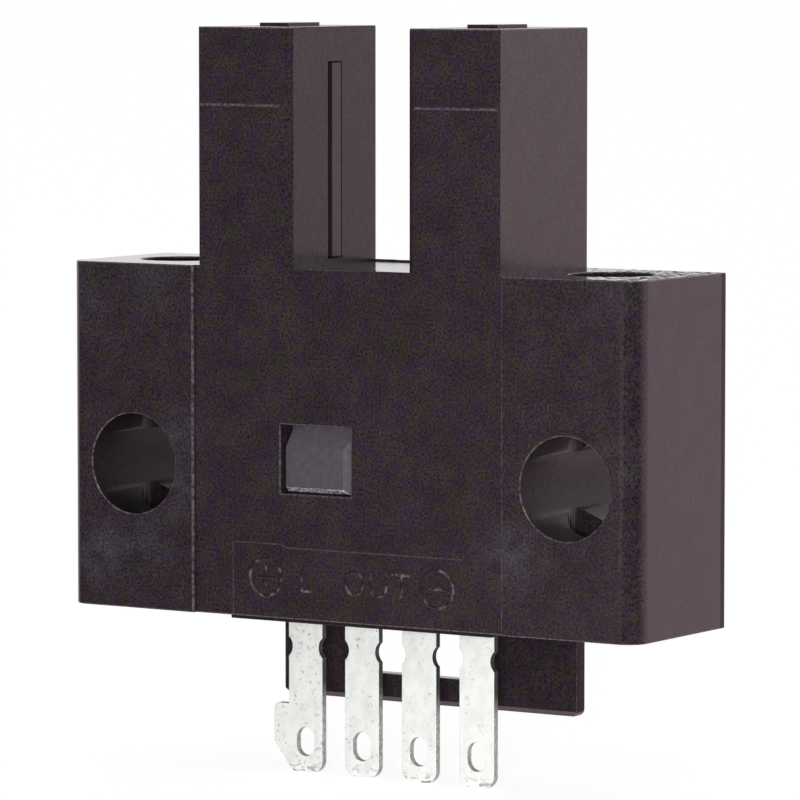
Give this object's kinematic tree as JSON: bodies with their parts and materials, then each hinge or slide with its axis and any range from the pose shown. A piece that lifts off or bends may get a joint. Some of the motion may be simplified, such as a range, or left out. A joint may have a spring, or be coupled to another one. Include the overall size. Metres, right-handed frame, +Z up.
{
  "type": "slotted optical switch",
  "caption": "T-shaped slotted optical switch: pillars either side of a sensing slot, drilled mounting ears, a smoked indicator window and solder terminals in front of a locking skirt.",
  "frame": {"origin": "on the mounting face, midway between the two front-to-back screw holes", "axes": "+X to the right seen from the front, +Y from the front to the mounting face, +Z up towards the open end of the sensing slot"},
  "size_m": [0.025, 0.0065, 0.0284],
  "materials": {
    "case_plastic": "semi-gloss moulded black",
    "base_plastic": "semi-gloss moulded black",
    "window_plastic": "dark infrared-passing plastic",
    "smoked_plastic": "smoked translucent",
    "tinned_metal": "bright tin plate",
    "board_laminate": "solder mask",
    "emitter_resin": "tinted resin",
    "detector_resin": "dark resin",
    "indicator_resin": "clear resin chip",
    "lead_metal": "tinned leads",
    "chip_body": "moulded black",
    "ceramic": "ceramic"
  },
  "bodies": {
    "root": {"case": "case_plastic", "terminal_base": "base_plastic", "emitter_window": "window_plastic", "receiver_window": "window_plastic", "indicator_light_guide": "smoked_plastic", "terminal_plus": "tinned_metal", "terminal_l": "tinned_metal", "terminal_out": "tinned_metal", "terminal_minus": "tinned_metal", "circuit_board": "board_laminate", "emitter_led": "emitter_resin", "emitter_leads": "lead_metal", "photo_ic": "detector_resin", "photo_ic_leads": "lead_metal", "indicator_led": "indicator_resin", "output_transistor": "chip_body", "chip_resistors": "chip_body", "bypass_capacitor": "ceramic", "protection_diode": "chip_body"}
  },
  "joints": []
}
